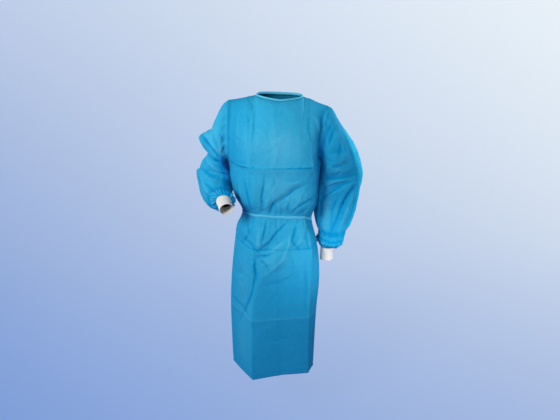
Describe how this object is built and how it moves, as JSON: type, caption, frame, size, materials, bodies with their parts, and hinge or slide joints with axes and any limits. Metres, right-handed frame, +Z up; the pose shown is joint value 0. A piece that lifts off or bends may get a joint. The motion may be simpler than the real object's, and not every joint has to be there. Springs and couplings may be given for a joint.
{
  "type": "disposable visitor gown",
  "caption": "Long-sleeved non-woven gown in its worn form, open at the neck, hem and knitted cuffs, drawn in at the waist by a narrow belt tied at the back.",
  "frame": {"origin": "centre of the neck base, where the wearer carries the gown", "axes": "+Z up to the neck opening, the wearer faces -Y, +X to the wearer's left"},
  "size_m": [0.6748, 0.3497, 1.2043],
  "materials": {
    "nonwoven_blue": "matte spunbond non-woven, pressed creases",
    "tape_pale_blue": "matte non-woven tape",
    "rib_knit_white": "matte rib knit"
  },
  "bodies": {
    "root": {"front_panel": "nonwoven_blue", "back_left_panel": "nonwoven_blue", "back_right_panel": "nonwoven_blue", "sleeve_left": "nonwoven_blue", "sleeve_right": "nonwoven_blue", "cuff_left": "rib_knit_white", "cuff_right": "rib_knit_white", "neck_binding": "tape_pale_blue", "waist_belt": "tape_pale_blue", "waist_knot": "tape_pale_blue", "neck_knot": "tape_pale_blue", "waist_tie_end_left": "tape_pale_blue", "waist_tie_end_right": "tape_pale_blue", "neck_tie_end_left": "tape_pale_blue", "neck_tie_end_right": "tape_pale_blue"}
  },
  "joints": []
}
